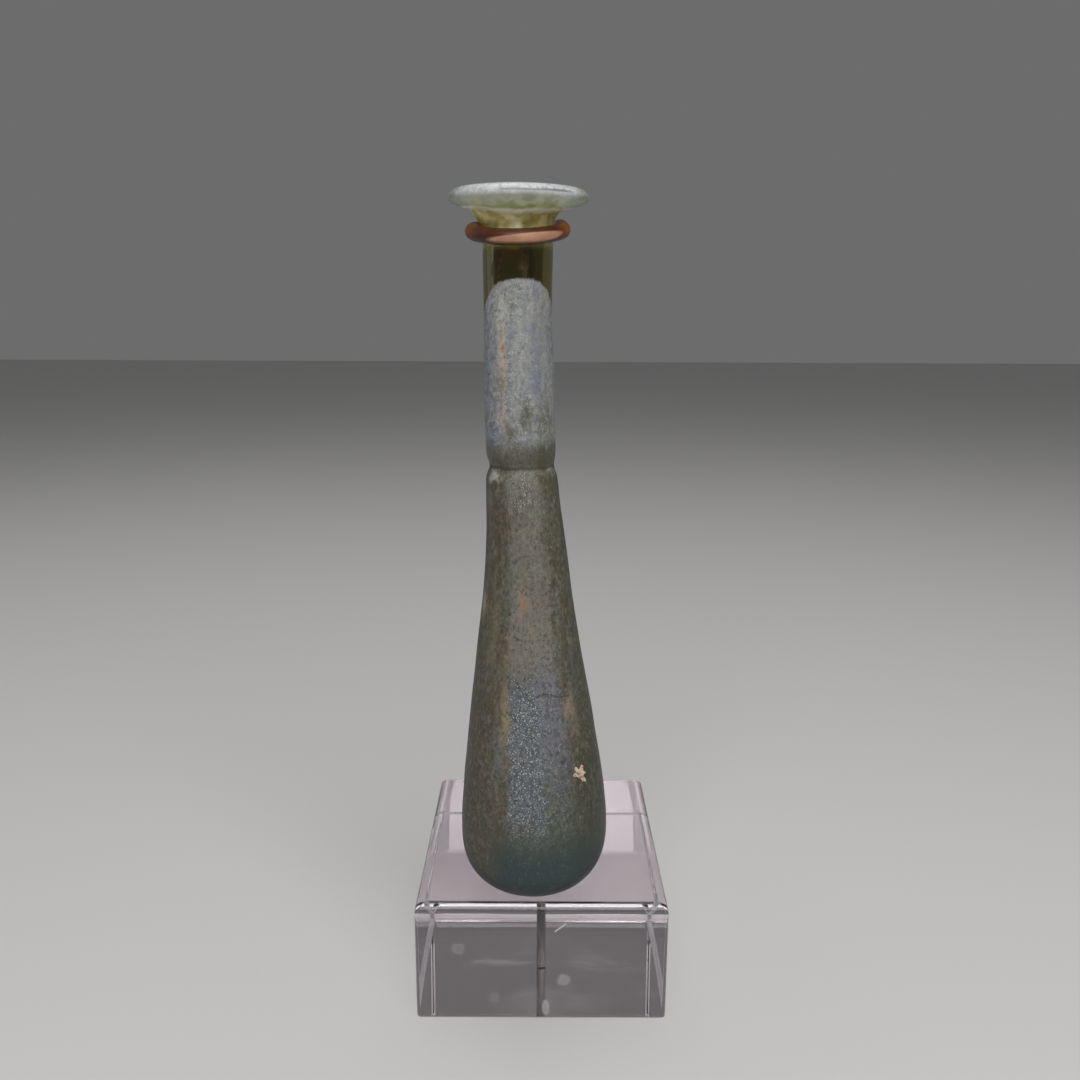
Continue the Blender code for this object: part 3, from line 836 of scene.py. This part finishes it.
    # Bright specks: painted glints on the slate band and below the crease, and light dust specks on the neck,
    # the haze and the front.
    glints = specks.rise(0.40, 0.14) * place.noise(1.2, 2.0).rise(0.36, 0.56)
    glints = glints.most(dots.rise(0.40, 0.10) * 0.6)
    dust = dots.rise(0.34, 0.14) * place.noise(0.9, 3.0).rise(0.44, 0.60)
    below_crease = spot(turn, height, 2.0, 80.5, 26.0, 3.6)
    bright = band * glints + dust * (silvered * 0.7 + haze * 0.5 + front * 0.3) + below_crease * glints * 0.7
    colour = (bright.least(1.0) * 0.85).lay(screen(186, 194, 198), colour)
    pits = place.cells(2.8).rise(0.26, 0.12) * place.noise(0.7, 2.0).rise(0.45, 0.6)
    colour = (pits * 0.6 * bare).lay(DEEP_OLIVE, colour)
    off_crease = (level + ripple * 0.9).off(CREASE_HEIGHT * 1000.0)
    colour = (off_crease.rise(0.5, 0.1) * 0.75).lay(DEEP_OLIVE, colour)
    hairline = (level - ripple * 0.8 - turn.bell(14.0, 10.0)).off(43.0).rise(0.22, 0.06)
    hairline = hairline * turn.rise(-6.0, 0.0) * turn.rise(46.0, 38.0)
    colour = (hairline * 0.75).lay(screen(58, 44, 34), colour)
    neck_foot = level.rise(85.0, 86.0) * height.rise(91.0, 88.0)
    colour = (neck_foot * (0.40 + 0.4 * turn.rise(-20.0, 45.0)) * 0.9).lay(OLIVE, colour)

    cubed = (degrees / 60.0).off(5.5 / 60.0) ** 3.0
    arch = 118.3 - 2.93 * cubed / (1.0 + 0.15 * cubed) + ripple * 1.2
    film = (arch - level).rise(-0.15, 0.4) * (0.90 + grain * 0.12).least(1.0)
    film = film * (1.0 - neck_foot * 0.25)
    fold = (RIM_UNDERSIDE - 0.38 * RIM_FLAP) * 1000.0
    rim = level.rise(fold - 0.15, fold + 0.1)
    crown = (level + ripple * 0.8).rise(131.2, 132.2)
    wisps = place.noise(0.55, 3.0, 0.5)
    milk = 0.70 + 0.22 * wisps.rise(0.40, 0.62) - 0.34 * spot(turn, level, 14.0, 127.5, 9.0, 2.6)
    milk = (milk + 0.12 * turn.rise(0.0, -30.0)) * level.rise(123.0, 125.0) + rim * 0.16
    film = (film + milk).least(0.96)
    rim_colour = wisps.rise(0.38, 0.64).lay(screen(216, 206, 150), screen(180, 166, 96))
    rim_colour = spot(turn, level, -2.0, 127.0, 9.0, 2.4).lay(screen(232, 226, 192), rim_colour)
    rim_colour = (spot(turn, level, 15.0, 127.5, 9.0, 2.4) * 0.6).lay(screen(120, 116, 50), rim_colour)
    rim_colour = (turn.rise(0.0, 24.0) * 0.40).lay(screen(132, 122, 58), rim_colour)
    lip = wisps.rise(0.36, 0.66).lay(screen(176, 182, 144), screen(150, 158, 114))
    lip = (level.rise(130.6, 131.8) * 0.75).lay(screen(164, 168, 176), lip)
    ends = aside.rise(44.0, 66.0) * aside.rise(150.0, 110.0)
    lip = (ends * 0.8).lay(screen(86, 108, 66), lip)
    crown = crown * (1.0 - 0.45 * ends)
    lip = (crown * (0.25 + 0.9 * grain.rise(0.36, 0.62))).least(1.0).lay(screen(206, 208, 212), lip)
    # Painted shade: a dark line along the furrow of the folded rim.
    groove_shade = (level + grain * 0.5).off(132.45).rise(0.30, 0.10) * turn.off(16.0).rise(34.0, 22.0)
    lip = (groove_shade * 0.7).lay(SLATE, lip)
    rim_colour = rim.lay(lip, rim_colour)
    rim_colour = (level.off(fold + 0.12).rise(0.30, 0.12) * 0.85).lay(screen(226, 222, 200), rim_colour)
    colour = level.rise(122.0, 124.0).lay(rim_colour, colour)

    relief = 0.6 * grain + 0.3 * fine + 0.4 * band * specks.least(0.5) + 0.3 * dots.least(0.5)
    flaked = tree.bump(relief + film * 0.5, 0.00018, 0.6)
    crust = tree.add(
        "ShaderNodeBsdfPrincipled",
        _0=colour,
        Roughness=0.60 + 0.24 * (fine - 0.5) - 0.30 * rim - 0.08 * teal - 0.2 * band * glints,
        IOR=1.42,
        Coat_Weight=0.06 + 0.84 * rim,
        Coat_Roughness=0.15,
        Normal=flaked,
    )
    glass = clear_glass(tree, tree.bump(place.noise(0.6, 2.0), 0.00006, 0.25), 0.06)
    tree.add("ShaderNodeMixShader", _0=film, _1=glass, _2=crust).finish()
    return made


def inner_material():
    """Inside of the flask: bare glass with brown dried residue on the neck's wall."""
    made, tree = new_material("flask_inside")
    place = tree.millimetres()
    degrees, level = tree.wrapped(FLASK_LOW.z)
    swirl = place.noise(0.6, 4.0, 0.6, (1.0, 1.0, 0.4)) - 0.5
    turn = degrees + swirl * 50.0
    height = level + swirl * 6.0
    residue = spot(turn, height, -42.0, 120.5, 15.0, 4.0) + spot(turn, height, 14.0, 120.0, 13.0, 3.4)
    residue = residue + spot(turn, height, 150.0, 121.0, 24.0, 4.0) * 0.7
    residue = (residue * (0.5 + place.noise(2.0, 4.0))).rise(0.25, 0.8)
    dried = tree.add(
        "ShaderNodeBsdfPrincipled",
        _0=place.noise(1.6, 3.0).rise(0.4, 0.7).lay(screen(88, 70, 40), screen(52, 38, 20)),
        Roughness=0.6,
    )
    glass = clear_glass(tree, tree.bump(place.noise(0.7, 2.0), 0.00006, 0.2), 0.06)
    tree.add("ShaderNodeMixShader", _0=residue * 0.9, _1=glass, _2=dried).finish()
    return made


rows_of_glass, first_inner_row = flask_rows()
flask = skin("blown_flask", rows_of_glass, first_inside=first_inner_row)
flask.data.materials.append(outer_material())
flask.data.materials.append(inner_material())
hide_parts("flask")
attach(flask, "root")


# Lump of crust
# A small star of hard, pinkish lime crust that grew on the glass low on its right side, with a little
# brown soil in patches on it.

LUMP_TURN = math.radians(42.5)
LUMP_HEIGHT = 0.0277
LUMP_CORE = 0.00072
LUMP_THICKNESS = 0.00110
LUMP_SINK = 0.00012
LUMP_POINTS = 96
LUMP_FLAT_ROWS = 10
# Direction of each arm on the surface, up being 90 degrees, its length past the core and its width in degrees
LUMP_ARMS = (
    (118.0, 0.00125, 20.0), (62.0, 0.00120, 17.0), (-58.0, 0.00135, 22.0), (172.0, 0.00090, 24.0),
    (10.0, 0.00070, 20.0),
)


def lump_rows():
    """A star laid on the wall: each row is the star's outline drawn in towards its middle.

    The outline is the core's radius plus one bell-shaped arm for each direction. From the rim inwards the top
    rises as a quarter circle, highest along the arms, and the underside lies flat inside the glass.
    """
    turn = 2.0 * np.pi * np.arange(LUMP_POINTS) / LUMP_POINTS
    outline = np.full(LUMP_POINTS, LUMP_CORE)
    ridge = np.full(LUMP_POINTS, 0.35)
    for direction, length, width in LUMP_ARMS:
        off = np.abs((np.degrees(turn) - direction + 180.0) % 360.0 - 180.0)
        arm = np.exp(-((off / width) ** 2))
        outline = outline + length * arm
        ridge = np.maximum(ridge, arm)
    top = np.cos(np.linspace(0.0, 0.96, 22)[1:] * 0.5 * np.pi)
    share = np.concatenate((np.linspace(0.12, 1.0, LUMP_FLAT_ROWS), top))[:, None]
    on_top = (np.arange(len(share)) >= LUMP_FLAT_ROWS)[:, None]
    rise = np.sqrt((1.0 - share**2).clip(0.0)) * (ridge * share + (1.0 - share) * 0.7) * LUMP_THICKNESS
    bumpy = 1.0 + 0.16 * np.sin(5.0 * turn + 9.0 * share) + 0.08 * np.sin(13.0 * turn - 14.0 * share)
    out = np.where(on_top, rise * bumpy, 0.0) - LUMP_SINK
    across = share * outline * np.cos(turn)
    height = LUMP_HEIGHT + share * outline * np.sin(turn)
    wall = NECK_RADIUS + (BODY_RADIUS - NECK_RADIUS) * through(BODY_OUTLINE, height / FLASK_HEIGHT)
    middle = NECK_X + BODY_LEAN * through(CENTRE_LINE, height / FLASK_HEIGHT)
    aim = LUMP_TURN + across / wall
    x = middle + (wall + out) * np.sin(aim)
    y = FLASK_Y - (wall + out) * np.cos(aim)
    return np.stack((x, y, FLASK_LOW.z + height), -1)


def lump_material():
    """Pinkish beige lime, rough and grainy, with patches of brown soil."""
    made, tree = new_material("lime_crust")
    place = tree.millimetres()
    grain = place.noise(3.0, 4.0, 0.65)
    soil = place.noise(1.3, 3.0).rise(0.48, 0.58)
    colour = grain.rise(0.35, 0.65).lay(screen(222, 206, 186), screen(168, 142, 118))
    colour = (soil * 0.85).lay(screen(104, 72, 46), colour)
    tree.add(
        "ShaderNodeBsdfPrincipled",
        _0=colour,
        Roughness=0.7 + 0.2 * grain,
        Normal=tree.bump(grain + 0.5 * soil, 0.00012, 0.7),
    ).finish()
    return made


lump = skin("crust_lump", lump_rows())
lump.data.materials.append(lump_material())
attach(lump, "root")


# Studio
# A pale floor, soft lights and the camera of the photograph. None of them belongs to the object.

FLOOR_HALF = 3.0
FLOOR_DROP = 0.00004
CAMERA_PLACE = (-0.00067, -0.19849, 0.13748)
CAMERA_DOWN = math.radians(12.770)
CAMERA_YAW = math.radians(0.023)
CAMERA_ROLL = math.radians(0.233)
FOCAL_PIXELS = 980.2
PHOTO_PIXELS = 1080.0


def soft_light(name, place, target, size, power, colour):
    """A square soft box at a place, turned to a target."""
    data = bpy.data.lights.new(name, "AREA")
    data.shape = "RECTANGLE"
    data.size, data.size_y = size
    data.energy = power
    data.color = colour
    made = bpy.data.objects.new(name, data)
    made.location = place
    made.rotation_euler = (Vector(target) - Vector(place)).to_track_quat("-Z", "Y").to_euler()
    bpy.context.scene.collection.objects.link(made)
    return made


floor_mesh = bpy.data.meshes.new("studio_floor")
square = [(x * FLOOR_HALF, y * FLOOR_HALF, -FLOOR_DROP) for x, y in ((-1, -1), (1, -1), (1, 1), (-1, 1))]
floor_mesh.from_pydata(square, [], [(0, 1, 2, 3)])
floor = bpy.data.objects.new("studio_floor", floor_mesh)
bpy.context.scene.collection.objects.link(floor)
floor_paint, floor_tree = new_material("pale_floor")
floor_tree.add("ShaderNodeBsdfPrincipled", _0=screen(214, 213, 212), Roughness=0.75).finish()
floor_mesh.materials.append(floor_paint)

soft_light("key_box", (0.10, -0.55, 0.52), (0.0, 0.0, 0.09), (0.80, 0.50), 4.6, (1.0, 0.99, 0.97))
soft_light("top_box", (0.0, 0.10, 0.80), (0.0, 0.0, 0.05), (0.60, 0.60), 1.5, (1.0, 1.0, 1.0))
soft_light("left_box", (-0.70, 0.10, 0.34), (0.0, 0.0, 0.08), (0.50, 0.60), 0.3, (0.95, 0.97, 1.0))

world = bpy.data.worlds.new("studio_air")
world.use_nodes = True
world.node_tree.nodes["Background"].inputs["Color"].default_value = (1.0, 1.0, 1.0, 1.0)
world.node_tree.nodes["Background"].inputs["Strength"].default_value = 0.15
bpy.context.scene.world = world

camera_data = bpy.data.cameras.new("photo_camera")
camera_data.sensor_fit = "HORIZONTAL"
camera_data.sensor_width = 36.0
camera_data.lens = FOCAL_PIXELS / PHOTO_PIXELS * camera_data.sensor_width
camera_data.clip_start = 0.01
camera_data.clip_end = 20.0
camera = bpy.data.objects.new("photo_camera", camera_data)
aim = Euler((0.5 * math.pi - CAMERA_DOWN, 0.0, -CAMERA_YAW)).to_matrix()
aim = aim @ Matrix.Rotation(CAMERA_ROLL, 3, "Z")
camera.location = CAMERA_PLACE
camera.rotation_euler = aim.to_euler()
bpy.context.scene.collection.objects.link(camera)
bpy.context.scene.camera = camera
bpy.context.scene.view_settings.view_transform = "Standard"
